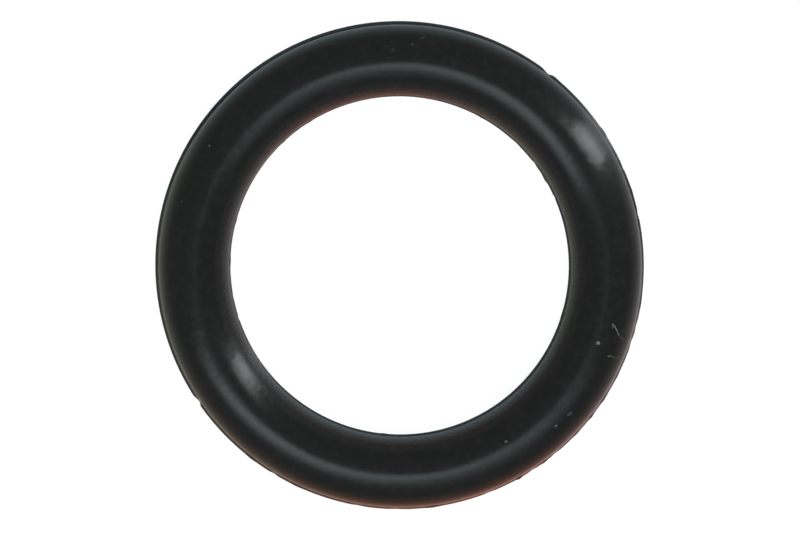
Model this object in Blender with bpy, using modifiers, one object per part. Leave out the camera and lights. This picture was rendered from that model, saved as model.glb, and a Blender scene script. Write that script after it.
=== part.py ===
"""Water pump O-ring: one moulded rubber ring of round section.

Units are metres and +Z is up. The ring lies flat on the plane z = 0 with its
axis on Z, so the origin is the centre of its opening on the plane it rests on.
Angles round the ring are counted from +X towards +Y, as seen from above.
"""

from math import asin, cos, hypot, pi, radians, sin, sqrt

import bmesh
import bpy

MM = 0.001

# The ring. The opening is measured inside the inner flash, where a plug gauge would touch.
OPENING_DIAMETER = 16.0 * MM
CORD_DIAMETER = 3.4 * MM

# Flash: the thin fin of rubber left where the two halves of the mould met.
OUTER_FLASH_HEIGHT = 0.10 * MM
INNER_FLASH_HEIGHT = 0.06 * MM
FLASH_ROOT_THICKNESS = 0.10 * MM
FLASH_EDGE_THICKNESS = 0.05 * MM

# Nicks torn out of the outer flash. Each is deepest at its angle, falls to that depth
# over its steep side and rises out of it again over its long side. The ease is the power
# by which that rise slackens: 1 would be straight.
UPPER_NICK_ANGLE = radians(52.1)
UPPER_NICK_DEPTH = 0.078 * MM
UPPER_NICK_STEEP_SIDE = 0.20 * MM
UPPER_NICK_LONG_SIDE = 0.45 * MM
LOWER_NICK_ANGLE = radians(214.3)
LOWER_NICK_DEPTH = 0.080 * MM
LOWER_NICK_STEEP_SIDE = 0.22 * MM
LOWER_NICK_LONG_SIDE = 0.42 * MM
NICK_EASE = 1.5

# How finely the curves are cut into flats. An odd count over each half of the cord
# puts a narrow level flat at its very top and bottom, on which the ring rests.
TURN_STEPS = 120
HALF_CORD_STEPS = 17
NICK_STEPS = 5

# How far a cutter reaches past what it cuts, and the merge distance of welded points.
CUT_CLEARANCE = 0.1 * MM
WELD_DISTANCE = 0.0005 * MM

RUBBER_COLOUR = (0.012, 0.0125, 0.012, 1.0)
RUBBER_ROUGHNESS = 0.2

# Worked out from the sizes above.
CORD_RADIUS = CORD_DIAMETER / 2
CENTRE_LINE_RADIUS = OPENING_DIAMETER / 2 + INNER_FLASH_HEIGHT + CORD_RADIUS
FLASH_RADIUS = CENTRE_LINE_RADIUS + CORD_RADIUS + OUTER_FLASH_HEIGHT
FLASH_ROOT_ANGLE = asin(FLASH_ROOT_THICKNESS / 2 / CORD_RADIUS)


def clear_scene():
    """Removes every object that the file opened with."""
    for item in list(bpy.data.objects):
        bpy.data.objects.remove(item, do_unlink=True)


def new_collection(name):
    """Makes a collection under the scene's own."""
    collection = bpy.data.collections.new(name)
    bpy.context.scene.collection.children.link(collection)
    return collection


def rubber_material():
    """Near-black satin rubber."""
    material = bpy.data.materials.new("rubber")
    material.use_nodes = True
    shader = material.node_tree.nodes["Principled BSDF"]
    shader.inputs["Base Color"].default_value = RUBBER_COLOUR
    shader.inputs["Roughness"].default_value = RUBBER_ROUGHNESS
    shader.inputs["Metallic"].default_value = 0.0
    return material


def half_cord(first_angle):
    """Points over one half of the cord, clockwise from first_angle, as (outward, up).

    The flats touch the true circle at their middles, so the ring's height is the
    cord's diameter.
    """
    span = pi - 2 * FLASH_ROOT_ANGLE
    step = span / HALF_CORD_STEPS
    corner_radius = CORD_RADIUS / cos(step / 2)
    return [
        (corner_radius * cos(first_angle - i * step), corner_radius * sin(first_angle - i * step))
        for i in range(HALF_CORD_STEPS + 1)
    ]


def section_profile():
    """The whole section with both fins, as points at y = 0 beside the ring's axis.

    It runs over the top from the inner flash to the outer one, down the outer side,
    and back underneath.
    """
    outer_edge = CORD_RADIUS + OUTER_FLASH_HEIGHT
    inner_edge = CORD_RADIUS + INNER_FLASH_HEIGHT
    half_edge = FLASH_EDGE_THICKNESS / 2
    over_top = half_cord(pi - FLASH_ROOT_ANGLE)
    outer_fin = [(outer_edge, half_edge), (outer_edge, -half_edge)]
    underneath = half_cord(-FLASH_ROOT_ANGLE)
    inner_fin = [(-inner_edge, -half_edge), (-inner_edge, half_edge)]
    outline = over_top + outer_fin + underneath + inner_fin
    return [(CENTRE_LINE_RADIUS + out, 0.0, CORD_RADIUS + up) for out, up in outline]


def make_ring(collection):
    """Turns the section about Z into the ring."""
    points = section_profile()
    edges = [(i, (i + 1) % len(points)) for i in range(len(points))]
    mesh = bpy.data.meshes.new("o_ring")
    mesh.from_pydata(points, edges, [])
    ring = bpy.data.objects.new("o_ring", mesh)
    collection.objects.link(ring)
    mesh.materials.append(rubber_material())

    turn = ring.modifiers.new("Turn", "SCREW")
    turn.axis = "Z"
    turn.angle = 2 * pi
    turn.steps = TURN_STEPS
    turn.render_steps = TURN_STEPS
    turn.use_merge_vertices = True
    turn.merge_threshold = WELD_DISTANCE
    turn.use_smooth_shade = True
    return ring


def nick_outline(angle, depth, steep_side, long_side, direction):
    """The nick seen from above: down its steep side, then up a long side that eases out."""
    floor = [(FLASH_RADIUS, angle - direction * steep_side / FLASH_RADIUS)]
    for i in range(NICK_STEPS + 1):
        share = i / NICK_STEPS
        sweep = direction * share * long_side / FLASH_RADIUS
        floor.append((FLASH_RADIUS - depth * (1 - share) ** NICK_EASE, angle + sweep))
    outside = FLASH_RADIUS + CUT_CLEARANCE
    corners = [(outside, floor[-1][1]), (outside, floor[0][1])]
    return [(radius * cos(turn), radius * sin(turn)) for radius, turn in floor + corners]


def nick_half_height(depth):
    """How far up and down the outer face a nick of this depth reaches."""
    bite = max(0.0, depth - OUTER_FLASH_HEIGHT)
    in_cord = sqrt(2 * CORD_RADIUS * bite - bite * bite)
    return hypot(in_cord, FLASH_ROOT_THICKNESS / 2) + CUT_CLEARANCE


def make_nick_cutter(name, collection, depth, outline):
    """A flat outline given thickness, as a closed mesh that stands round the flash."""
    curve = bpy.data.curves.new(name, "CURVE")
    curve.dimensions = "2D"
    curve.fill_mode = "BOTH"
    curve.extrude = nick_half_height(depth)
    spline = curve.splines.new("POLY")
    spline.points.add(len(outline) - 1)
    for point, (x, y) in zip(spline.points, outline):
        point.co = (x, y, 0.0, 1.0)
    spline.use_cyclic_u = True
    sketch = bpy.data.objects.new(name + "_sketch", curve)
    collection.objects.link(sketch)
    sketch.location.z = CORD_RADIUS

    bpy.context.view_layer.update()
    placed = sketch.evaluated_get(bpy.context.evaluated_depsgraph_get())
    mesh = bpy.data.meshes.new_from_object(placed)
    mesh.name = name
    cutter = bpy.data.objects.new(name, mesh)
    collection.objects.link(cutter)
    cutter.matrix_world = sketch.matrix_world.copy()
    bpy.data.objects.remove(sketch, do_unlink=True)
    bpy.data.curves.remove(curve)

    solid = bmesh.new()
    solid.from_mesh(mesh)
    bmesh.ops.remove_doubles(solid, verts=solid.verts, dist=WELD_DISTANCE)
    bmesh.ops.recalc_face_normals(solid, faces=solid.faces)
    solid.to_mesh(mesh)
    solid.free()
    cutter.hide_render = True
    cutter.display_type = "WIRE"
    return cutter


def cut(ring, cutter):
    """Takes a cutter away from the ring."""
    taken = ring.modifiers.new(cutter.name, "BOOLEAN")
    taken.operation = "DIFFERENCE"
    taken.solver = "EXACT"
    taken.object = cutter


def main():
    clear_scene()
    parts = new_collection("o_ring")
    cutters = new_collection("cutters")
    ring = make_ring(parts)
    upper = nick_outline(
        UPPER_NICK_ANGLE, UPPER_NICK_DEPTH, UPPER_NICK_STEEP_SIDE, UPPER_NICK_LONG_SIDE, direction=1
    )
    lower = nick_outline(
        LOWER_NICK_ANGLE, LOWER_NICK_DEPTH, LOWER_NICK_STEEP_SIDE, LOWER_NICK_LONG_SIDE, direction=-1
    )
    cut(ring, make_nick_cutter("upper_nick", cutters, UPPER_NICK_DEPTH, upper))
    cut(ring, make_nick_cutter("lower_nick", cutters, LOWER_NICK_DEPTH, lower))


main()
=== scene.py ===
"""A moulded rubber O-ring from a water pump, lying on a pale floor, seen from above.

The ring is black rubber of round section, with the thin flash that the mould's parting
line left round both sides, two nicks torn in it, dust specks and a few lint fibres.
Lengths are in metres and +Z is up, as in the frame. Angles round the ring are counted
from +X towards +Y, seen from above.
"""

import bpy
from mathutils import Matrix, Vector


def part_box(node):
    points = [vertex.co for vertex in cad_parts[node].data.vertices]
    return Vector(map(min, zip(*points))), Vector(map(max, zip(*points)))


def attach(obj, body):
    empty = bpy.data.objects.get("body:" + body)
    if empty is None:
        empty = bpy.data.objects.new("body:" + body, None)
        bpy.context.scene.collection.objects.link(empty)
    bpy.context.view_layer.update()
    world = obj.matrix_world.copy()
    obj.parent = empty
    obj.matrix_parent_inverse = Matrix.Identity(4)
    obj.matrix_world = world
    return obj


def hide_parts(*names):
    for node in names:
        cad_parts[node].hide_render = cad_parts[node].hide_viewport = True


bl_info = {
    "name": "Rubber O-ring",
    "version": (1, 0, 0),
    "blender": (4, 5, 0),
    "location": "3D View > Sidebar > O-ring",
    "description": "Moulded rubber O-ring with flash, nicks, dust and lint, and a plain stage for it",
    "category": "Object",
}

from math import cos, pi, radians, sin, tau

import bmesh
import bpy
from bpy.props import FloatProperty, FloatVectorProperty, IntProperty, PointerProperty
from mathutils import Matrix, Vector

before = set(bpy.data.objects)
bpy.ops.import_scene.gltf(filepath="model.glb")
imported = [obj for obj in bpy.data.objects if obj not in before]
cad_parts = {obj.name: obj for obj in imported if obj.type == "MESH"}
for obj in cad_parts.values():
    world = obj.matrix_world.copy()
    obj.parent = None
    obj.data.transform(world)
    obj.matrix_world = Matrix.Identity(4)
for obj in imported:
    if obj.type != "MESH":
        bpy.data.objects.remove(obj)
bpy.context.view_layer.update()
RING_LOW, RING_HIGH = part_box("o_ring")

MM = 0.001
MICRON = 1.0e-6
QUARTER_TURN = 0.25
NOISE_MIDDLE = 0.5

# The cord, and the radius of the ring's circle to the cord's middle.
CORD_DIAMETER = RING_HIGH.z - RING_LOW.z
OUTER_FLASH = 0.10 * MM
CORD_MIDDLE = RING_HIGH.x - OUTER_FLASH - CORD_DIAMETER / 2

# The photograph's frame, in its own pixels: x runs right and y runs down.
PHOTO_WIDTH = 800
PHOTO_HEIGHT = 533
RING_CENTRE_PIXEL = (399.61, 265.55)
PIXELS_PER_MM = 21.148

# Dust specks as pixels of the photograph, with their widths in millimetres, how long they
# are beside that width, and how pale. Each is dropped onto the rubber below it.
SPECKS = (
    ((597.9, 343.1), 0.180, 1.1, 0.85),
    ((558.8, 404.5), 0.165, 1.2, 0.17),
    ((562.1, 407.0), 0.110, 1.2, 0.13),
    ((569.4, 413.9), 0.150, 2.1, 0.17),
    ((555.9, 425.9), 0.135, 1.2, 0.40),
    ((505.9, 441.6), 0.140, 1.2, 0.40),
    ((392.5, 50.3), 0.165, 1.5, 0.045),
    ((412.1, 44.9), 0.165, 1.3, 0.060),
    ((422.4, 37.8), 0.130, 2.2, 0.050),
    ((391.6, 42.2), 0.130, 1.0, 0.015),
    ((388.0, 57.9), 0.150, 1.0, 0.030),
    ((209.2, 145.8), 0.120, 1.1, 0.30),
    ((181.6, 201.7), 0.140, 1.2, 0.06),
)
SPECK_SLANT = radians(30)

# Where the flash's edge stands out of its even line or falls short of it: the angle round
# the ring, the height in millimetres, and how many degrees it runs before and after.
# The two deepest on the outer edge are the nicks.
OUTER_FLASH_WAVES = (
    (12.2, -0.026, 1.6, 1.6),
    (18.0, 0.012, 2.5, 2.0),
    (23.8, -0.020, 1.2, 1.6),
    (33.5, 0.032, 2.2, 1.4),
    (50.3, 0.012, 1.5, 0.8),
    (52.1, -0.078, 1.0, 2.6),
    (214.3, -0.080, 2.3, 1.1),
    (232.5, 0.018, 2.5, 2.0),
    (238.8, -0.030, 1.4, 1.6),
    (245.0, 0.012, 2.0, 2.5),
    (260.0, -0.018, 1.5, 2.0),
    (269.0, -0.014, 2.0, 3.0),
    (277.5, 0.022, 2.5, 3.0),
    (291.5, -0.018, 1.8, 1.8),
    (299.3, 0.042, 1.0, 1.2),
    (303.0, -0.024, 1.6, 1.4),
    (306.3, 0.026, 1.2, 1.2),
    (309.6, -0.024, 1.8, 1.6),
    (316.5, 0.014, 1.5, 1.5),
    (321.6, 0.030, 1.0, 1.4),
    (326.6, 0.024, 1.6, 2.4),
    (333.0, 0.012, 1.5, 1.5),
    (341.8, -0.030, 2.2, 1.8),
    (345.6, -0.018, 1.4, 2.0),
    (351.0, 0.014, 2.0, 3.0),
)
INNER_FLASH_WAVES = (
    (23.8, -0.018, 1.4, 1.4),
    (30.6, 0.034, 2.0, 2.4),
    (37.6, -0.024, 2.0, 1.2),
    (46.0, -0.014, 2.0, 3.0),
    (61.0, 0.013, 1.5, 1.5),
    (122.0, 0.013, 2.0, 2.0),
    (133.0, 0.020, 1.2, 1.2),
    (165.0, 0.013, 2.5, 1.5),
    (178.0, 0.018, 1.6, 3.0),
    (190.5, -0.012, 2.0, 1.5),
    (198.0, -0.023, 1.2, 1.2),
    (264.5, 0.018, 1.2, 2.0),
    (343.0, 0.011, 2.0, 4.0),
)

# Lint fibres: each one's thickness in millimetres, how pale it is, and pixels of the
# photograph along it. A fibre's middle lies above the rubber by a share of its thickness.
FIBRES = (
    (0.165, 0.72, ((612.7, 323.6), (614.7, 326.2), (616.8, 330.0), (618.8, 335.0))),
    (0.075, 0.35, ((618.8, 335.0), (620.4, 337.0), (622.6, 338.8), (625.2, 339.6))),
    (0.090, 0.45, ((612.7, 323.8), (612.4, 326.0), (613.4, 328.2))),
    (0.120, 0.60, ((607.6, 356.6), (610.4, 355.9), (613.2, 357.6))),
    (0.085, 0.45, ((613.2, 357.6), (616.2, 358.0), (619.2, 356.4))),
    (0.075, 0.22, ((620.6, 331.6), (623.2, 330.6), (625.6, 330.4))),
)
FIBRE_LIFT = 0.45

# The flash: how much of its steps its upright edge takes, the cosines of the angle from its
# direction between which the bead grows to its full size, and the pattern of the edge's ripple.
EDGE_SHARE = 0.15
BEAD_COSINES = (-0.7, 0.0)
RIPPLE_SCALE = 60.0
RIPPLE_SEED = 3.0

# The rubber's patterns, by how many of their lumps go to a metre, and the radius of the
# circle round which the scratches are read.
SCRATCH_SCALE = 9000.0
SCRATCH_CIRCLE = 6.0 * MM
GRAIN_SCALE = 14000.0
DIMPLE_SCALE = 3200.0
SWELL_SCALE = 800.0
FILM_SCALE = 2100.0

# Dust and lint: the scales of their colours' patterns, how much those vary and how rough
# both are, and the pattern that makes the grains of dust uneven.
DUST_SCALE = 20000.0
LINT_SCALE = 9000.0
FLUFF_SPREAD = 0.5
FLUFF_ROUGHNESS = 0.85
LUMP_SCALE = 30000.0
LUMP_SEED = 5.0

# The film of dust: the noise levels between which a patch thickens; then how much further towards the
# film's colour the wall of the opening is drawn, lighter, and the radii at which that wall begins to end
# and ends.
FILM_PATCHES = (0.42, 0.72)
WALL_LIGHTENING = 1.6
WALL_FULL = CORD_MIDDLE - 1.21 * MM
WALL_ENDS = CORD_MIDDLE - 0.91 * MM

# How far above and below the parting line the flash's grey is full, and where it ends.
SEAM_FULL = 0.05 * MM
SEAM_ENDS = 0.11 * MM

# The skin mirrors a little less on the cord's inner half, and its roughness varies.
INNER_MIRROR = 0.47
OUTER_MIRROR = 0.50
MIRROR_EASE = 0.3 * MM
GLOSS_SPREAD = 0.10

# The painted light on the floor as the rubber mirrors it: the distances between which it dims and its two
# levels, then the painted glow at the ring's foot, and where on the lit side that glow comes in.
FLOOR_REACH = (RING_HIGH.x - 0.06 * MM, RING_HIGH.x + 12.44 * MM)
FLOOR_LEVELS = (1.05, 0.72)
FOOT_REACH = (RING_HIGH.x + 0.34 * MM, RING_HIGH.x + 2.04 * MM)
FOOT_PAINTED_GLOW = 0.45
LIT_TOWARDS = radians(-65)
LIT_COSINES = (0.3, 0.9)
# How much the floor glows with its painted light in the rubber's reflections.
MIRRORED_PAINTED_GLOW = 0.23

# The floor's own white as the camera sees it, and how much of the paper that covers.
WHITE_LEVEL = 1.18
WHITE_SHARE = 0.8


class RingSizes(bpy.types.PropertyGroup):
    """Sizes of the moulded ring."""

    outer_diameter: FloatProperty(
        name="Outer diameter",
        description="Across the outer flash",
        default=RING_HIGH.x - RING_LOW.x,
        min=0.002,
        precision=5,
        unit="LENGTH",
    )
    cord_diameter: FloatProperty(
        name="Cord diameter",
        description="Thickness of the round section, without the flash",
        default=CORD_DIAMETER,
        min=0.0005,
        precision=5,
        unit="LENGTH",
    )
    outer_flash: FloatProperty(
        name="Outer flash",
        description="How far the fin on the outer parting line stands out of the cord",
        default=OUTER_FLASH,
        min=0.0,
        precision=6,
        unit="LENGTH",
    )
    inner_flash: FloatProperty(
        name="Inner flash",
        description="How far the fin on the inner parting line stands out of the cord",
        default=0.06 * MM,
        min=0.0,
        precision=6,
        unit="LENGTH",
    )
    flash_thickness: FloatProperty(
        name="Flash thickness",
        description="Thickness of the fin at its edge",
        default=0.05 * MM,
        min=0.0,
        precision=6,
        unit="LENGTH",
    )
    flash_root: FloatProperty(
        name="Flash root",
        description="Thickness of the fin where it grows out of the cord",
        default=0.15 * MM,
        min=0.0,
        precision=6,
        unit="LENGTH",
    )
    flash_bead: FloatProperty(
        name="Flash bead",
        description="How much thicker the outer fin's root is on one side of the ring",
        default=0.42 * MM,
        min=0.0,
        precision=6,
        unit="LENGTH",
    )
    bead_towards: FloatProperty(
        name="Bead towards",
        description="Direction round the ring in which the outer fin is thick",
        default=radians(-105),
        subtype="ANGLE",
    )
    flash_ripple: FloatProperty(
        name="Flash ripple",
        description="How uneven the fin's edge is",
        default=0.010 * MM,
        min=0.0,
        precision=6,
        unit="LENGTH",
    )
    out_of_round: FloatProperty(
        name="Out of round",
        description="How much longer than its mean the ring is along its long axis, as a share",
        default=0.0018,
        min=0.0,
        max=0.1,
        precision=4,
    )
    long_axis: FloatProperty(
        name="Long axis",
        description="Direction round the ring of its longer diameter",
        default=radians(128),
        subtype="ANGLE",
    )
    mould_mismatch: FloatProperty(
        name="Mould mismatch",
        description="How far the mould's upper half sat to one side of its lower half",
        default=0.030 * MM,
        min=0.0,
        precision=6,
        unit="LENGTH",
    )
    mismatch_towards: FloatProperty(
        name="Mismatch towards",
        description="Direction round the ring in which the upper half sat",
        default=radians(-40),
        subtype="ANGLE",
    )
    turn_steps: IntProperty(
        name="Steps round the ring", description="Faces round the opening", default=960, min=12
    )
    quarter_steps: IntProperty(
        name="Steps in a quarter cord",
        description="Faces round a quarter of the section",
        default=25,
        min=8,
    )
    flash_steps: IntProperty(
        name="Steps in half the flash",
        description="How many of a quarter's faces are on the flash",
        default=8,
        min=2,
    )


class RubberLook(bpy.types.PropertyGroup):
    """Colours and gloss of the rubber and its dirt."""

    rubber_colour: FloatVectorProperty(
        name="Rubber",
        description="The rubber's own near-black",
        default=(0.0098, 0.0110, 0.0098, 1.0),
        size=4,
        min=0.0,
        max=1.0,
        subtype="COLOR",
    )
    bloom_colour: FloatVectorProperty(
        name="Bloom",
        description="The faint film of dust on the rubber",
        default=(0.0155, 0.0160, 0.0145, 1.0),
        size=4,
        min=0.0,
        max=1.0,
        subtype="COLOR",
    )
    roughness: FloatProperty(
        name="Roughness",
        description="Of the moulded skin",
        default=0.175,
        min=0.0,
        max=1.0,
        subtype="FACTOR",
    )
    wall_dullness: FloatProperty(
        name="Wall dullness",
        description="How much rougher the wall of the opening is than the rest",
        default=0.09,
        min=0.0,
        max=1.0,
        subtype="FACTOR",
    )
    drag: FloatProperty(
        name="Drag",
        description="How much the fine lines round the ring spread the gloss across them",
        default=0.6,
        min=0.0,
        max=1.0,
        subtype="FACTOR",
    )
    haze: FloatProperty(
        name="Haze",
        description="Share of the skin that is duller than the rest",
        default=0.16,
        min=0.0,
        max=1.0,
        subtype="FACTOR",
    )
    haze_roughness: FloatProperty(
        name="Haze roughness",
        description="Of the duller share",
        default=0.42,
        min=0.0,
        max=1.0,
        subtype="FACTOR",
    )
    ior: FloatProperty(
        name="IOR", description="How strongly the skin mirrors", default=1.36, min=1.0, max=2.0
    )
    flash_colour: FloatVectorProperty(
        name="Flash",
        description="The greyer rubber of the thin fin on the parting line",
        default=(0.044, 0.056, 0.062, 1.0),
        size=4,
        min=0.0,
        max=1.0,
        subtype="COLOR",
    )
    dust_colour: FloatVectorProperty(
        name="Dust",
        description="The pale specks",
        default=(0.26, 0.255, 0.24, 1.0),
        size=4,
        min=0.0,
        max=1.0,
        subtype="COLOR",
    )
    lint_colour: FloatVectorProperty(
        name="Lint",
        description="The stray fibres",
        default=(0.26, 0.245, 0.21, 1.0),
        size=4,
        min=0.0,
        max=1.0,
        subtype="COLOR",
    )


class StageLook(bpy.types.PropertyGroup):
    """Camera distance, lean and light levels."""

    camera_distance: FloatProperty(
        name="Camera distance",
        description="From the ring's middle plane",
        default=0.4,
        min=0.05,
        unit="LENGTH",
    )
    camera_lean: FloatProperty(
        name="Camera lean", description="Off the ring's axis", default=radians(3.4), subtype="ANGLE"
    )
    camera_lean_towards: FloatProperty(
        name="Lean towards",
        description="Direction round the ring that the camera leans to",
        default=radians(97),
        subtype="ANGLE",
    )
    floor_colour: FloatVectorProperty(
        name="Floor",
        description="The pale floor's own colour",
        default=(0.8, 0.8, 0.8, 1.0),
        size=4,
        min=0.0,
        max=1.0,
        subtype="COLOR",
    )
    # The floor colours below are painted light: what glossy rays see of the floor, cool on most sides and
    # warm, amber and rosy towards their directions.
    cool_painted_light: FloatVectorProperty(
        name="Cool floor",
        description="What the rubber mirrors of the floor on most sides",
        default=(0.71, 0.84, 0.87, 1.0),
        size=4,
        min=0.0,
        max=1.0,
        subtype="COLOR",
    )
    warm_painted_light: FloatVectorProperty(
        name="Warm floor",
        description="What the rubber mirrors of the floor on its warm side",
        default=(1.0, 0.46, 0.34, 1.0),
        size=4,
        min=0.0,
        max=1.0,
        subtype="COLOR",
    )
    warm_towards: FloatProperty(
        name="Warm towards",
        description="Direction round the ring of the floor's warm side",
        default=radians(-80),
        subtype="ANGLE",
    )
    amber_painted_light: FloatVectorProperty(
        name="Amber floor",
        description="What the rubber mirrors of the floor to the left of the ring",
        default=(0.80, 0.70, 0.48, 1.0),
        size=4,
        min=0.0,
        max=1.0,
        subtype="COLOR",
    )
    amber_towards: FloatProperty(
        name="Amber towards",
        description="Direction round the ring of the floor's amber side",
        default=radians(-165),
        subtype="ANGLE",
    )
    rosy_painted_light: FloatVectorProperty(
        name="Rosy floor",
        description="What the rubber mirrors of the floor to the right of the ring",
        default=(0.90, 0.76, 0.78, 1.0),
        size=4,
        min=0.0,
        max=1.0,
        subtype="COLOR",
    )
    rosy_towards: FloatProperty(
        name="Rosy towards",
        description="Direction round the ring of the floor's rosy side",
        default=radians(5),
        subtype="ANGLE",
    )
    surroundings: FloatProperty(
        name="Surroundings",
        description="Strength of the dim studio all round",
        default=0.305,
        min=0.0,
    )
    surroundings_slope: FloatProperty(
        name="Surroundings slope",
        description="How much brighter than that the studio is to the left, and dimmer to the right",
        default=0.05,
        min=0.0,
    )


class NodeGraph:
    """A node tree being built: adds nodes, sets their sockets and joins them."""

    def __init__(self, tree):
        self.tree = tree

    def node(self, kind, inputs=None, **settings):
        """Adds a node. Inputs are given by socket name or number, as a value or a socket."""
        node = self.tree.nodes.new(kind)
        for name, value in settings.items():
            setattr(node, name, value)
        for key, value in (inputs or {}).items():
            self.feed(node.inputs[key], value)
        return node

    def feed(self, socket, value):
        """Joins a socket to another, or sets its value."""
        if isinstance(value, bpy.types.NodeSocket):
            self.tree.links.new(value, socket)
        else:
            socket.default_value = value

    def math(self, operation, *values, clamp=False):
        """A sum on numbers."""
        inputs = dict(enumerate(values))
        return self.node("ShaderNodeMath", inputs, operation=operation, use_clamp=clamp).outputs[0]

    def vector(self, operation, inputs, output="Vector"):
        """A sum on vectors, with its inputs by socket number."""
        return self.node("ShaderNodeVectorMath", inputs, operation=operation).outputs[output]

    def point(self, x, y, z=0.0):
        """Three numbers as one vector."""
        return self.node("ShaderNodeCombineXYZ", {0: x, 1: y, 2: z}).outputs[0]

    def mix(self, share, first, second, **settings):
        """The colour that lies by share between the first and the second."""
        inputs = {0: share, 6: first, 7: second}
        return self.node("ShaderNodeMix", inputs, data_type="RGBA", **settings).outputs[2]

    def ramp(self, value, low, high, to_low=0.0, to_high=1.0, kind="LINEAR"):
        """Takes low and high to two new levels, value between them along, and holds it beyond."""
        inputs = {"Value": value, "From Min": low, "From Max": high, "To Min": to_low, "To Max": to_high}
        return self.node("ShaderNodeMapRange", inputs, interpolation_type=kind).outputs["Result"]

    def smooth(self, *levels):
        """A ramp that starts and ends gently."""
        return self.ramp(*levels, kind="SMOOTHSTEP")

    def noise(self, vector, scale, detail, roughness=0.5, w=None, output="Fac"):
        """Noise about its middle, as a number or a colour. A w makes it four-dimensional."""
        inputs = {"Vector": vector, "Scale": scale, "Detail": detail, "Roughness": roughness}
        if w is not None:
            inputs["W"] = w
        dimensions = "3D" if w is None else "4D"
        return self.node("ShaderNodeTexNoise", inputs, noise_dimensions=dimensions).outputs[output]

    def held(self, name, kind="FLOAT"):
        """What each point of a geometry holds under this name."""
        return self.node("GeometryNodeInputNamedAttribute", {"Name": name}, data_type=kind).outputs[0]


def heading(turn, tilt):
    """The direction at an angle round the ring, tilted away from straight up."""
    return Vector((sin(tilt) * cos(turn), sin(tilt) * sin(turn), cos(tilt)))


def stand_at(place, right, up, back):
    """The matrix of a thing at this place, with these directions as its own axes."""
    return Matrix.Translation(place) @ Matrix((right, up, back)).transposed().to_4x4()


def new_object(name, mesh):
    """Links a new object with this mesh to the scene."""
    item = bpy.data.objects.new(name, mesh)
    bpy.context.scene.collection.objects.link(item)
    return item


def new_material(name):
    """A material with an empty tree, as a graph with its output node."""
    material = bpy.data.materials.new(name)
    material.use_nodes = True
    material.node_tree.nodes.clear()
    graph = NodeGraph(material.node_tree)
    return material, graph, graph.node("ShaderNodeOutputMaterial")


def new_tree(name, sockets):
    """A geometry tree with these named inputs, as a graph with what it is given."""
    tree = bpy.data.node_groups.new(name, "GeometryNodeTree")
    tree.interface.new_socket(name="Geometry", in_out="INPUT", socket_type="NodeSocketGeometry")
    tree.interface.new_socket(name="Geometry", in_out="OUTPUT", socket_type="NodeSocketGeometry")
    for socket, kind in sockets.items():
        tree.interface.new_socket(name=socket, in_out="INPUT", socket_type="NodeSocket" + kind)
    graph = NodeGraph(tree)
    return graph, graph.node("NodeGroupInput").outputs


def end_tree(graph, geometry, material):
    """Ends a geometry tree: smooth faces, real instances and one material."""
    smooth = graph.node("GeometryNodeSetShadeSmooth", {0: geometry})
    real = graph.node("GeometryNodeRealizeInstances", {0: smooth.outputs[0]})
    dressed = graph.node("GeometryNodeSetMaterial", {"Geometry": real.outputs[0], "Material": material})
    graph.node("NodeGroupOutput", {0: dressed.outputs[0]})


def make_plain(host, tree, values):
    """Runs a geometry tree on host with these inputs, and leaves the plain mesh that it makes."""
    modifier = host.modifiers.new("Shape", "NODES")
    modifier.node_group = tree
    for item in tree.interface.items_tree:
        if item.item_type == "SOCKET" and item.in_out == "INPUT" and item.name in values:
            modifier[item.identifier] = values[item.name]
    bpy.context.view_layer.update()
    shaped = host.evaluated_get(bpy.context.evaluated_depsgraph_get())
    mesh = bpy.data.meshes.new_from_object(shaped)
    mesh.name = host.name
    host.modifiers.remove(modifier)
    host.data = mesh
    if not mesh.polygons:
        raise RuntimeError(f"{host.name} came out empty")


def from_axis(graph, place):
    """The level way from the ring's axis to a place, and its length."""
    way = graph.vector("MULTIPLY", {0: place, 1: (1.0, 1.0, 0.0)})
    return way, graph.vector("LENGTH", {0: way}, "Value")


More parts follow.
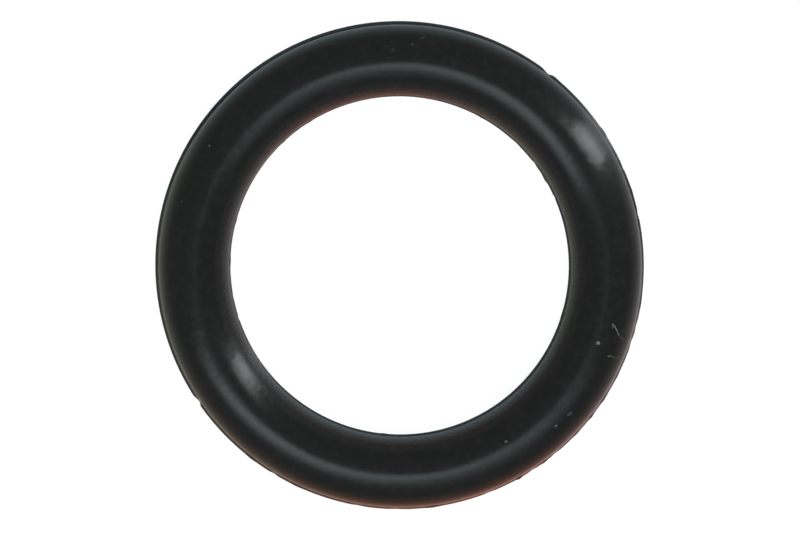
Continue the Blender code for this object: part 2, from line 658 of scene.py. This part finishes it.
def rubber_material(look):
    """Black moulded rubber: a satin skin with fine grain and dimples and a trace of dust.

    Its gloss is drawn out across the cord, as by fine lines round the ring.
    """
    material, graph, output = new_material("moulded_rubber")
    place = graph.node("ShaderNodeTexCoord").outputs["Object"]
    split = graph.node("ShaderNodeSeparateXYZ", {0: place}).outputs

    # Around the ring, as a point on a unit circle, and across it, as radius and height.
    _, radius = from_axis(graph, place)
    east = graph.math("DIVIDE", split["X"], radius)
    north = graph.math("DIVIDE", split["Y"], radius)

    # The scratches change slowly across the cord and so quickly round it that none shows alone.
    across = graph.point(radius, split["Z"], graph.math("MULTIPLY", east, SCRATCH_CIRCLE))
    along = graph.math("MULTIPLY", north, SCRATCH_CIRCLE * SCRATCH_SCALE)
    scratches = graph.noise(across, SCRATCH_SCALE, detail=3.0, roughness=0.6, w=along)
    grain = graph.noise(place, GRAIN_SCALE, detail=3.0, roughness=0.65)
    dimples = graph.noise(place, DIMPLE_SCALE, detail=3.0, roughness=0.55)
    swell = graph.noise(place, SWELL_SCALE, detail=2.0, roughness=0.5)
    film = graph.noise(place, FILM_SCALE, detail=5.0, roughness=0.7)

    # The film lies in patches, the wall of the opening is drawn lighter still, and the flash is greyer.
    wall = graph.smooth(radius, WALL_FULL, WALL_ENDS, 1.0, 0.0)
    film_and_wall_share = graph.math("MULTIPLY_ADD", wall, WALL_LIGHTENING, graph.smooth(film, *FILM_PATCHES))
    colour = graph.mix(
        film_and_wall_share, tuple(look.rubber_colour), tuple(look.bloom_colour), clamp_factor=False
    )
    off_seam = graph.math("ABSOLUTE", graph.math("SUBTRACT", split["Z"], CORD_DIAMETER / 2))
    on_seam = graph.smooth(off_seam, SEAM_FULL, SEAM_ENDS, 1.0, 0.0)
    colour = graph.mix(on_seam, colour, tuple(look.flash_colour))

    smoothest = look.roughness - NOISE_MIDDLE * GLOSS_SPREAD
    gloss = graph.math("MULTIPLY_ADD", dimples, GLOSS_SPREAD, smoothest)
    gloss = graph.math("MULTIPLY_ADD", wall, look.wall_dullness, gloss)
    mirror = graph.smooth(
        radius, CORD_MIDDLE - MIRROR_EASE, CORD_MIDDLE + MIRROR_EASE, INNER_MIRROR, OUTER_MIRROR
    )

    # Each pattern's height in the relief is in microns.
    relief = 0.0
    for pattern, height in ((scratches, 0.5), (grain, 0.8), (dimples, 3.0), (swell, 12.0)):
        relief = graph.math("MULTIPLY_ADD", pattern, height, relief)
    bump = graph.node("ShaderNodeBump", {"Height": relief, "Distance": MICRON, "Strength": 1.0})

    around = graph.point(graph.math("MULTIPLY", north, -1.0), east)
    skins = [
        graph.node(
            "ShaderNodeBsdfPrincipled",
            {
                "Base Color": colour,
                "Roughness": roughness,
                "IOR": look.ior,
                "Specular IOR Level": mirror,
                "Anisotropic": look.drag,
                "Anisotropic Rotation": QUARTER_TURN,
                "Tangent": around,
                "Normal": bump.outputs[0],
            },
        ).outputs[0]
        for roughness in (gloss, look.haze_roughness)
    ]
    mixed = graph.node("ShaderNodeMixShader", {0: look.haze, 1: skins[0], 2: skins[1]})
    graph.feed(output.inputs["Surface"], mixed.outputs[0])
    return material


def fluff_material(name, pale, dark, scale):
    """Matt dust or lint, a little uneven in colour, as pale as its paleness attribute says."""
    material, graph, output = new_material(name)
    place = graph.node("ShaderNodeTexCoord").outputs["Object"]
    uneven = graph.noise(place, scale, detail=2.0, roughness=0.6)
    paleness = graph.node("ShaderNodeAttribute", attribute_name="paleness").outputs["Fac"]
    strength = graph.math("MULTIPLY_ADD", uneven, FLUFF_SPREAD, 1.0 - NOISE_MIDDLE * FLUFF_SPREAD)
    share = graph.math("MULTIPLY", paleness, strength)
    matt = graph.node(
        "ShaderNodeBsdfPrincipled",
        {"Base Color": graph.mix(share, tuple(dark), tuple(pale)), "Roughness": FLUFF_ROUGHNESS},
    )
    graph.feed(output.inputs["Surface"], matt.outputs[0])
    return material


def circle_index(graph, steps, value_name):
    """A circle of points, each holding its share of the way round as a turn from 0 to 1."""
    circle = graph.node("GeometryNodeCurvePrimitiveCircle", {"Resolution": steps, "Radius": 1.0})
    index = graph.node("GeometryNodeSplineParameter").outputs["Index"]
    share = graph.math("DIVIDE", index, steps)
    capture = graph.node("GeometryNodeCaptureAttribute", {0: circle.outputs[0]}, domain="POINT")
    capture.capture_items.new("FLOAT", value_name)
    graph.feed(capture.inputs[1], share)
    return capture.outputs[0], capture.outputs[1]


def wave_line(graph, turn, waves):
    """How far the flash's edge departs from its even height, from a list of waves."""
    line = 0.0
    for degrees, height, before, after in waves:
        gone = graph.math("SUBTRACT", turn, radians(degrees))
        rise = graph.smooth(gone, -radians(before), 0.0)
        fall = graph.smooth(gone, 0.0, radians(after), height * MM, 0.0)
        line = graph.math("MULTIPLY_ADD", rise, fall, line)
    return line


def ring_tree():
    """The ring as a geometry tree: one round section carried round one circle.

    Each quarter of the section starts at the parting line with the steps of half the thin
    flash, and the rest of its steps run up or down the round cord.
    """
    graph, given = new_tree(
        "moulded_ring_shape",
        {
            "Centre Line Radius": "Float",
            "Cord Radius": "Float",
            "Outer Flash": "Float",
            "Inner Flash": "Float",
            "Flash Thickness": "Float",
            "Flash Root": "Float",
            "Flash Bead": "Float",
            "Bead Towards": "Float",
            "Flash Ripple": "Float",
            "Out Of Round": "Float",
            "Long Axis": "Float",
            "Mould Mismatch": "Float",
            "Mismatch Towards": "Float",
            "Turn Steps": "Int",
            "Quarter Steps": "Int",
            "Flash Steps": "Int",
            "Seed": "Float",
            "Rubber": "Material",
        },
    )
    path, turn_share = circle_index(graph, given["Turn Steps"], "turn")
    all_steps = graph.math("MULTIPLY", given["Quarter Steps"], 4.0)
    section, section_share = circle_index(graph, all_steps, "across")
    swept = graph.node("GeometryNodeCurveToMesh", {"Curve": path, "Profile Curve": section})
    turn = graph.math("MULTIPLY", turn_share, tau)
    east = graph.math("COSINE", turn)
    north = graph.math("SINE", turn)
    across = graph.math("MULTIPLY", section_share, tau)
    side = graph.math("SIGN", graph.math("COSINE", across))
    half = graph.math("SIGN", graph.math("SINE", across))
    outside = graph.math("GREATER_THAN", side, 0.0)

    # Steps from the nearer parting line, as a share of the flash and then of the round cord.
    step = graph.math("PINGPONG", graph.math("MULTIPLY", section_share, all_steps), given["Quarter Steps"])
    on_flash = graph.math("DIVIDE", step, given["Flash Steps"], clamp=True)
    past_flash = graph.math("SUBTRACT", step, given["Flash Steps"])
    cord_steps = graph.math("SUBTRACT", given["Quarter Steps"], given["Flash Steps"])
    on_cord = graph.math("DIVIDE", past_flash, cord_steps, clamp=True)

    # The flash's edge is upright, and its faces round off it and run into the cord by a fillet.
    edge_half = graph.math("MULTIPLY", given["Flash Thickness"], 0.5)
    bead_side = graph.math("COSINE", graph.math("SUBTRACT", turn, given["Bead Towards"]))
    bead = graph.math("MULTIPLY", graph.smooth(bead_side, *BEAD_COSINES), outside)
    root = graph.math("MULTIPLY_ADD", bead, given["Flash Bead"], given["Flash Root"])
    root_half = graph.math("MULTIPLY", root, 0.5)
    face_half = graph.math("SUBTRACT", root_half, edge_half)
    up_edge = graph.ramp(on_flash, 0.0, EDGE_SHARE, 0.0, edge_half)
    up_face = graph.ramp(on_flash, EDGE_SHARE, 1.0, 0.0, face_half)
    level = graph.math("ADD", up_edge, up_face)
    flash_angle = graph.math("ARCSINE", graph.math("DIVIDE", level, given["Cord Radius"]))
    root_angle = graph.math("ARCSINE", graph.math("DIVIDE", root_half, given["Cord Radius"]))
    cord_angle = graph.math("MULTIPLY", on_cord, graph.math("SUBTRACT", pi / 2, root_angle))
    angle = graph.math("ADD", flash_angle, cord_angle)
    fin = graph.smooth(on_flash, EDGE_SHARE, 1.0, 1.0, 0.0)

    # An uneven edge: noise read on a circle, so that it closes on itself, and the waves.
    circle = graph.point(east, north, side)
    fine = graph.noise(circle, RIPPLE_SCALE, detail=3.0, roughness=0.6, w=given["Seed"])
    ripple = graph.math("MULTIPLY", graph.math("SUBTRACT", fine, NOISE_MIDDLE), given["Flash Ripple"])

    def by_side(outer, inner):
        gap = graph.math("SUBTRACT", outer, inner)
        return graph.math("MULTIPLY_ADD", gap, outside, inner)

    waves = by_side(wave_line(graph, turn, OUTER_FLASH_WAVES), wave_line(graph, turn, INNER_FLASH_WAVES))
    even = graph.math("ADD", by_side(given["Outer Flash"], given["Inner Flash"]), ripple)
    stand = graph.math("MAXIMUM", graph.math("ADD", even, waves), 0.0)

    # Out of the cord and up it, and the whole a little longer along one axis than across it.
    proud = graph.math("MULTIPLY", fin, stand)
    out = graph.math("MULTIPLY_ADD", graph.math("COSINE", angle), given["Cord Radius"], proud)
    up = graph.math("MULTIPLY", graph.math("SINE", angle), given["Cord Radius"])
    twice_off_axis = graph.math("MULTIPLY", graph.math("SUBTRACT", turn, given["Long Axis"]), 2.0)
    oval = graph.math("MULTIPLY", graph.math("COSINE", twice_off_axis), given["Out Of Round"])
    round_reach = graph.math("MULTIPLY_ADD", out, side, given["Centre Line Radius"])
    reach = graph.math("MULTIPLY_ADD", round_reach, oval, round_reach)

    # The upper half of the cord sits to one side, and the flash bridges the step.
    upper = graph.math("GREATER_THAN", half, 0.0)
    off_fin = graph.math("SUBTRACT", 1.0, fin)
    aside = graph.math("MULTIPLY", graph.math("MULTIPLY", upper, off_fin), given["Mould Mismatch"])
    aside_x = graph.math("MULTIPLY", aside, graph.math("COSINE", given["Mismatch Towards"]))
    aside_y = graph.math("MULTIPLY", aside, graph.math("SINE", given["Mismatch Towards"]))
    position = graph.point(
        graph.math("MULTIPLY_ADD", reach, east, aside_x),
        graph.math("MULTIPLY_ADD", reach, north, aside_y),
        graph.math("MULTIPLY_ADD", up, half, given["Cord Radius"]),
    )
    placed = graph.node("GeometryNodeSetPosition", {"Geometry": swept.outputs[0], "Position": position})
    end_tree(graph, placed.outputs[0], given["Rubber"])
    return graph.tree


class ORING_OT_ring(bpy.types.Operator):
    """Mould the rubber ring with its flash and nicks"""

    bl_idname = "oring.ring"
    bl_label = "Rubber ring"

    def execute(self, context):
        sizes = context.scene.oring_sizes
        cord_radius = sizes.cord_diameter / 2
        ring = new_object("moulded_ring", bpy.data.meshes.new("moulded_ring"))
        make_plain(
            ring,
            ring_tree(),
            {
                "Centre Line Radius": sizes.outer_diameter / 2 - sizes.outer_flash - cord_radius,
                "Cord Radius": cord_radius,
                "Outer Flash": sizes.outer_flash,
                "Inner Flash": sizes.inner_flash,
                "Flash Thickness": sizes.flash_thickness,
                "Flash Root": sizes.flash_root,
                "Flash Bead": sizes.flash_bead,
                "Bead Towards": sizes.bead_towards,
                "Flash Ripple": sizes.flash_ripple,
                "Out Of Round": sizes.out_of_round,
                "Long Axis": sizes.long_axis,
                "Mould Mismatch": sizes.mould_mismatch,
                "Mismatch Towards": sizes.mismatch_towards,
                "Turn Steps": sizes.turn_steps,
                "Quarter Steps": sizes.quarter_steps,
                "Flash Steps": sizes.flash_steps,
                "Seed": RIPPLE_SEED,
                "Rubber": rubber_material(context.scene.oring_look),
            },
        )
        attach(ring, "root")
        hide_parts("o_ring")
        return {"FINISHED"}


def pixel_to_rubber(pixel, lift=0.0):
    """Where the rubber lies behind a pixel of the photograph, raised by lift, and its normal."""
    camera = bpy.context.scene.camera
    lens = camera.data
    across = lens.sensor_width / PHOTO_WIDTH
    right = (pixel[0] - PHOTO_WIDTH / 2) * across
    down = (pixel[1] - PHOTO_HEIGHT / 2) * across
    sight = camera.matrix_world.to_3x3() @ Vector((right, -down, -lens.lens))
    ring = bpy.data.objects["moulded_ring"]
    hit, place, normal, _ = ring.ray_cast(camera.matrix_world.translation, sight.normalized())
    if not hit:
        raise RuntimeError(f"there is no rubber behind pixel {pixel}")
    return place + normal * lift, normal


def speck_tree():
    """Dust specks as a geometry tree: an uneven grain on each point of a mesh."""
    graph, given = new_tree(
        "dust_speck_shape",
        {"Flatness": "Float", "Unevenness": "Float", "Seed": "Float", "Dust": "Material"},
    )
    width = graph.held("width")
    length = graph.math("MULTIPLY", width, graph.held("stretch"))
    thickness = graph.math("MULTIPLY", width, given["Flatness"])
    turned = graph.node(
        "FunctionNodeAxesToRotation",
        {0: graph.held("facing", "FLOAT_VECTOR"), 1: graph.held("along", "FLOAT_VECTOR")},
        primary_axis="Z",
        secondary_axis="X",
    )
    grain = graph.node("GeometryNodeMeshIcoSphere", {"Radius": 0.5, "Subdivisions": 2})
    copies = graph.node(
        "GeometryNodeInstanceOnPoints",
        {
            "Points": given["Geometry"],
            "Instance": grain.outputs[0],
            "Rotation": turned.outputs[0],
            "Scale": graph.point(length, width, thickness),
        },
    )
    real = graph.node("GeometryNodeRealizeInstances", {0: copies.outputs[0]})
    place = graph.node("GeometryNodeInputPosition").outputs[0]
    lumps = graph.noise(place, LUMP_SCALE, detail=1.0, w=given["Seed"], output="Color")
    centred = graph.vector("SUBTRACT", {0: lumps, 1: (NOISE_MIDDLE, NOISE_MIDDLE, NOISE_MIDDLE)})
    push = graph.vector("SCALE", {0: centred, 3: given["Unevenness"]})
    uneven = graph.node("GeometryNodeSetPosition", {"Geometry": real.outputs[0], "Offset": push})
    end_tree(graph, uneven.outputs[0], given["Dust"])
    return graph.tree


class ORING_OT_specks(bpy.types.Operator):
    """Settle the dust specks on the rubber"""

    bl_idname = "oring.specks"
    bl_label = "Dust specks"

    def execute(self, context):
        look = context.scene.oring_look
        mesh = bpy.data.meshes.new("dust_specks")
        landed = [pixel_to_rubber(pixel) for pixel, _, _, _ in SPECKS]
        mesh.from_pydata([place for place, _ in landed], [], [])
        slant = Vector((cos(SPECK_SLANT), sin(SPECK_SLANT), 0.0))
        columns = {
            "width": ("FLOAT", "value", [width * MM for _, width, _, _ in SPECKS]),
            "stretch": ("FLOAT", "value", [stretch for _, _, stretch, _ in SPECKS]),
            "paleness": ("FLOAT", "value", [paleness for _, _, _, paleness in SPECKS]),
            "facing": ("FLOAT_VECTOR", "vector", [part for _, normal in landed for part in normal]),
            "along": ("FLOAT_VECTOR", "vector", [part for _ in SPECKS for part in slant]),
        }
        for name, (kind, field, values) in columns.items():
            mesh.attributes.new(name, kind, "POINT").data.foreach_set(field, values)
        specks = new_object("dust_specks", mesh)
        dust = fluff_material("dust", look.dust_colour, look.rubber_colour, DUST_SCALE)
        make_plain(
            specks,
            speck_tree(),
            {"Flatness": 0.6, "Unevenness": 0.02 * MM, "Seed": LUMP_SEED, "Dust": dust},
        )
        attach(specks, "root")
        return {"FINISHED"}


def fibre_tree():
    """Lint fibres as a geometry tree: a round section swept along each edge path."""
    graph, given = new_tree(
        "lint_fibre_shape", {"Path Steps": "Int", "Section Steps": "Int", "Lint": "Material"}
    )
    path = graph.node("GeometryNodeMeshToCurve", {0: given["Geometry"]})
    splined = graph.node("GeometryNodeCurveSplineType", {0: path.outputs[0]}, spline_type="CATMULL_ROM")
    bent = graph.node(
        "GeometryNodeResampleCurve", {"Curve": splined.outputs[0], "Count": given["Path Steps"]}
    )
    section = graph.node(
        "GeometryNodeCurvePrimitiveCircle", {"Resolution": given["Section Steps"], "Radius": 1.0}
    )
    swept = graph.node(
        "GeometryNodeCurveToMesh",
        {
            "Curve": bent.outputs[0],
            "Profile Curve": section.outputs[0],
            "Scale": graph.math("MULTIPLY", graph.held("thickness"), 0.5),
            "Fill Caps": True,
        },
    )
    end_tree(graph, swept.outputs[0], given["Lint"])
    return graph.tree


class ORING_OT_fibres(bpy.types.Operator):
    """Lay the lint fibres on the rubber"""

    bl_idname = "oring.fibres"
    bl_label = "Lint fibres"

    def execute(self, context):
        places, links, widths, paleness = [], [], [], []
        for thickness, pale, pixels in FIBRES:
            first = len(places)
            places += [pixel_to_rubber(pixel, thickness * MM * FIBRE_LIFT)[0] for pixel in pixels]
            links += [(i, i + 1) for i in range(first, len(places) - 1)]
            widths += [thickness * MM for _ in pixels]
            paleness += [pale for _ in pixels]
        mesh = bpy.data.meshes.new("lint_fibres")
        mesh.from_pydata(places, links, [])
        for name, values in (("thickness", widths), ("paleness", paleness)):
            mesh.attributes.new(name, "FLOAT", "POINT").data.foreach_set("value", values)
        fibres = new_object("lint_fibres", mesh)
        look = context.scene.oring_look
        lint = fluff_material("lint", look.lint_colour, look.rubber_colour, LINT_SCALE)
        make_plain(fibres, fibre_tree(), {"Path Steps": 24, "Section Steps": 8, "Lint": lint})
        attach(fibres, "root")
        return {"FINISHED"}


def floor_material(look):
    """A pale glossy floor that keeps the ring's shadow and looks white to the camera.

    In the rubber it mirrors painted light, as the photograph's floor shows it: painted warm light towards
    the bottom of the picture, amber to the ring's left, rosy to its right and cool elsewhere. This painted
    light dims away from the ring and has a painted glow at the ring's foot on the lit side.
    """
    material, graph, output = new_material("pale_floor")
    ray = graph.node("ShaderNodeLightPath").outputs
    level, distance = from_axis(graph, graph.node("ShaderNodeTexCoord").outputs["Object"])
    away = graph.vector("NORMALIZE", {0: level})

    # The wall of the opening mirrors the floor at its own foot but faces the other way, so the
    # sides change over inside the ring.
    outside = graph.math("GREATER_THAN", distance, CORD_MIDDLE)
    side = graph.math("MULTIPLY_ADD", outside, 2.0, -1.0)

    def facing(turn):
        """The cosine of the angle from this direction round the ring."""
        cosine = graph.vector("DOT_PRODUCT", {0: away, 1: heading(turn, pi / 2)}, "Value")
        return graph.math("MULTIPLY", cosine, side)

    # Each side's painted light colour comes in from the cosine at which it starts, up to its most.
    painted_tint = tuple(look.cool_painted_light)
    for colour, turn, start, most in (
        (look.warm_painted_light, look.warm_towards, -0.1, 1.0),
        (look.amber_painted_light, look.amber_towards, 0.3, 0.6),
        (look.rosy_painted_light, look.rosy_towards, 0.3, 0.7),
    ):
        share = graph.smooth(facing(turn), start, 1.0, 0.0, most)
        painted_tint = graph.mix(share, painted_tint, tuple(colour))
    # A painted glow at the ring's foot on the lit side, and painted dimming of the floor's light away from
    # the ring.
    foot = graph.math("MULTIPLY", graph.smooth(distance, *FOOT_REACH, FOOT_PAINTED_GLOW, 0.0), outside)
    lit_side = graph.smooth(facing(LIT_TOWARDS), *LIT_COSINES)
    nearness = graph.smooth(distance, *FLOOR_REACH, *FLOOR_LEVELS)
    nearness = graph.math("MULTIPLY_ADD", foot, lit_side, nearness)
    painted_tint = graph.vector("SCALE", {0: painted_tint, 3: nearness})

    # To the camera the paper is mostly its own white; to glossy rays it takes the painted light as its
    # colour and glows a little with it as a painted reflection.
    colour = graph.mix(ray["Is Glossy Ray"], tuple(look.floor_colour), painted_tint)
    paper = graph.node("ShaderNodeBsdfPrincipled", {"Base Color": colour, "Roughness": 0.12, "IOR": 1.45})
    shown = graph.math("MAXIMUM", ray["Is Camera Ray"], ray["Is Transmission Ray"])
    white = graph.node("ShaderNodeEmission", {"Color": (1.0, 1.0, 1.0, 1.0), "Strength": WHITE_LEVEL})
    share = graph.math("MULTIPLY", shown, WHITE_SHARE)
    mixed = graph.node("ShaderNodeMixShader", {0: share, 1: paper.outputs[0], 2: white.outputs[0]})
    glow = graph.math("MULTIPLY", ray["Is Glossy Ray"], MIRRORED_PAINTED_GLOW)
    mirrored = graph.node("ShaderNodeEmission", {"Color": painted_tint, "Strength": glow})
    both = graph.node("ShaderNodeAddShader", {0: mixed.outputs[0], 1: mirrored.outputs[0]})
    graph.feed(output.inputs["Surface"], both.outputs[0])
    return material


def make_floor(look):
    """One large flat sheet under the ring."""
    mesh = bpy.data.meshes.new("floor")
    sheet = bmesh.new()
    bmesh.ops.create_grid(sheet, x_segments=2, y_segments=2, size=1.0)
    sheet.to_mesh(mesh)
    sheet.free()
    floor = new_object("floor", mesh)
    mesh.materials.append(floor_material(look))


def make_camera(look):
    """A long lens high above the ring, leaning a little, with the photograph's top up."""
    data = bpy.data.cameras.new("camera")
    camera = new_object("camera", data)
    frame_width = PHOTO_WIDTH / PIXELS_PER_MM * MM
    data.lens = data.sensor_width * look.camera_distance / frame_width
    data.clip_start = 0.01
    data.clip_end = 10.0

    back = heading(look.camera_lean_towards, look.camera_lean)
    right = Vector((0.0, 1.0, 0.0)).cross(back).normalized()
    up = back.cross(right)
    off_right = (PHOTO_WIDTH / 2 - RING_CENTRE_PIXEL[0]) / PIXELS_PER_MM * MM
    off_up = (RING_CENTRE_PIXEL[1] - PHOTO_HEIGHT / 2) / PIXELS_PER_MM * MM
    ring_middle = Vector((0.0, 0.0, (RING_LOW.z + RING_HIGH.z) / 2))
    target = ring_middle + right * off_right + up * off_up
    camera.matrix_world = stand_at(target + back * look.camera_distance, right, up, back)
    bpy.context.scene.camera = camera


def make_lamp(name, place, faces, size, radiance, fades, colour):
    """A soft box at a place, which faces down from an angle round the ring, tilted and rolled.

    Tilted by 0 it is level, and by a right angle it stands upright. The fades say over which
    shares of its width and then of its height it brightens from either edge.
    """
    turn, tilt, roll = faces
    data = bpy.data.lights.new(name, "AREA")
    data.shape = "RECTANGLE"
    data.size, data.size_y = size
    data.energy = radiance * size[0] * size[1] * pi
    data.color = colour
    data.use_nodes = True
    data.node_tree.nodes.clear()
    graph = NodeGraph(data.node_tree)
    spot = graph.node("ShaderNodeNewGeometry").outputs["Parametric"]
    split = graph.node("ShaderNodeSeparateXYZ", {0: spot}).outputs
    strength = 1.0
    for axis, (near_edge, far_edge) in zip("XY", fades):
        rise = graph.smooth(split[axis], 0.0, near_edge)
        fall = graph.smooth(split[axis], 1.0 - far_edge, 1.0, 1.0, 0.0)
        strength = graph.math("MULTIPLY", graph.math("MULTIPLY", rise, fall), strength)
    glow = graph.node("ShaderNodeEmission", {"Strength": strength})
    output = graph.node("ShaderNodeOutputLight")
    graph.feed(output.inputs["Surface"], glow.outputs[0])
    lamp = new_object(name, data)
    back = heading(turn, tilt)
    across = Matrix.Rotation(roll, 3, back) @ Vector((-sin(turn), cos(turn), 0.0))
    lamp.matrix_world = stand_at(place, across, back.cross(across), back)
    lamp.visible_camera = False


def make_lamps():
    """Two crossed soft boxes overhead, and an upright window with the paler wall round it."""
    cool = (0.84, 0.95, 1.0)
    near = (radians(-118.3), radians(27.9), radians(53.1))
    make_lamp(
        "overhead_near",
        place=0.40 * heading(*near[:2]),
        faces=near,
        size=(0.504, 0.232),
        radiance=5.5,
        fades=((0.55, 0.56), (0.98, 0.31)),
        colour=cool,
    )
    far = (radians(-77.5), radians(37.4), radians(-41.5))
    make_lamp(
        "overhead_far",
        place=0.43 * heading(*far[:2]),
        faces=far,
        size=(0.488, 0.438),
        radiance=2.12,
        fades=((0.31, 0.72), (1.0, 0.20)),
        colour=cool,
    )
    pane = (0.93, 0.965, 1.0)
    window = (radians(30), radians(90), 0.0)
    outward = heading(*window[:2])
    up = Vector((0.0, 0.0, 1.0))
    make_lamp(
        "window",
        place=0.35 * outward + 0.352 * up,
        faces=window,
        size=(0.070, 0.95),
        radiance=9.2,
        fades=((0.1, 0.1), (0.28, 0.72)),
        colour=pane,
    )
    make_lamp(
        "window_glow",
        place=0.36 * outward + 0.30 * up,
        faces=window,
        size=(0.28, 0.80),
        radiance=0.3,
        fades=((0.5, 0.5), (0.3, 0.7)),
        colour=pane,
    )


def make_world(look):
    """White behind the floor for the camera, and a dim studio for everything else."""
    world = bpy.data.worlds.new("studio")
    world.use_nodes = True
    world.node_tree.nodes.clear()
    graph = NodeGraph(world.node_tree)
    ray = graph.node("ShaderNodeLightPath").outputs
    seen = graph.node("ShaderNodeTexCoord").outputs["Generated"]
    sideways = graph.node("ShaderNodeSeparateXYZ", {0: seen}).outputs["X"]
    studio = graph.math("MULTIPLY_ADD", sideways, -look.surroundings_slope, look.surroundings)
    strength = graph.smooth(ray["Is Camera Ray"], 0.0, 1.0, studio, 1.0)
    sky = graph.node("ShaderNodeBackground", {"Color": (1.0, 1.0, 1.0, 1.0), "Strength": strength})
    output = graph.node("ShaderNodeOutputWorld")
    graph.feed(output.inputs["Surface"], sky.outputs[0])
    bpy.context.scene.world = world


class ORING_OT_stage(bpy.types.Operator):
    """Set up the pale floor, the camera and the soft light"""

    bl_idname = "oring.stage"
    bl_label = "Stage"

    def execute(self, context):
        look = context.scene.oring_stage
        make_floor(look)
        make_camera(look)
        make_world(look)
        make_lamps()
        context.scene.view_settings.view_transform = "Standard"
        return {"FINISHED"}


class ORING_PT_panel(bpy.types.Panel):
    """The O-ring's tools, in the 3D view's sidebar"""

    bl_idname = "ORING_PT_panel"
    bl_label = "Rubber O-ring"
    bl_space_type = "VIEW_3D"
    bl_region_type = "UI"
    bl_category = "O-ring"

    def draw(self, context):
        scene = context.scene
        for group, title in (
            (scene.oring_sizes, "Ring"),
            (scene.oring_look, "Rubber and dirt"),
            (scene.oring_stage, "Stage"),
        ):
            box = self.layout.box()
            box.label(text=title)
            for name in group.bl_rna.properties.keys():
                if name not in ("rna_type", "name"):
                    box.prop(group, name)
        for operator in OPERATORS:
            self.layout.operator(operator.bl_idname)


OPERATORS = (ORING_OT_stage, ORING_OT_ring, ORING_OT_specks, ORING_OT_fibres)
GROUPS = {"oring_sizes": RingSizes, "oring_look": RubberLook, "oring_stage": StageLook}


def register():
    """Registers every class and hangs the property groups on the scene."""
    for item in (*GROUPS.values(), *OPERATORS, ORING_PT_panel):
        bpy.utils.register_class(item)
    for name, group in GROUPS.items():
        setattr(bpy.types.Scene, name, PointerProperty(type=group))


def unregister():
    """Undoes register."""
    for name in GROUPS:
        delattr(bpy.types.Scene, name)
    for item in reversed((*GROUPS.values(), *OPERATORS, ORING_PT_panel)):
        bpy.utils.unregister_class(item)


def main():
    """Builds the whole scene."""
    register()
    bpy.ops.oring.stage()
    bpy.ops.oring.ring()
    bpy.ops.oring.specks()
    bpy.ops.oring.fibres()


if __name__ == "__main__":
    main()
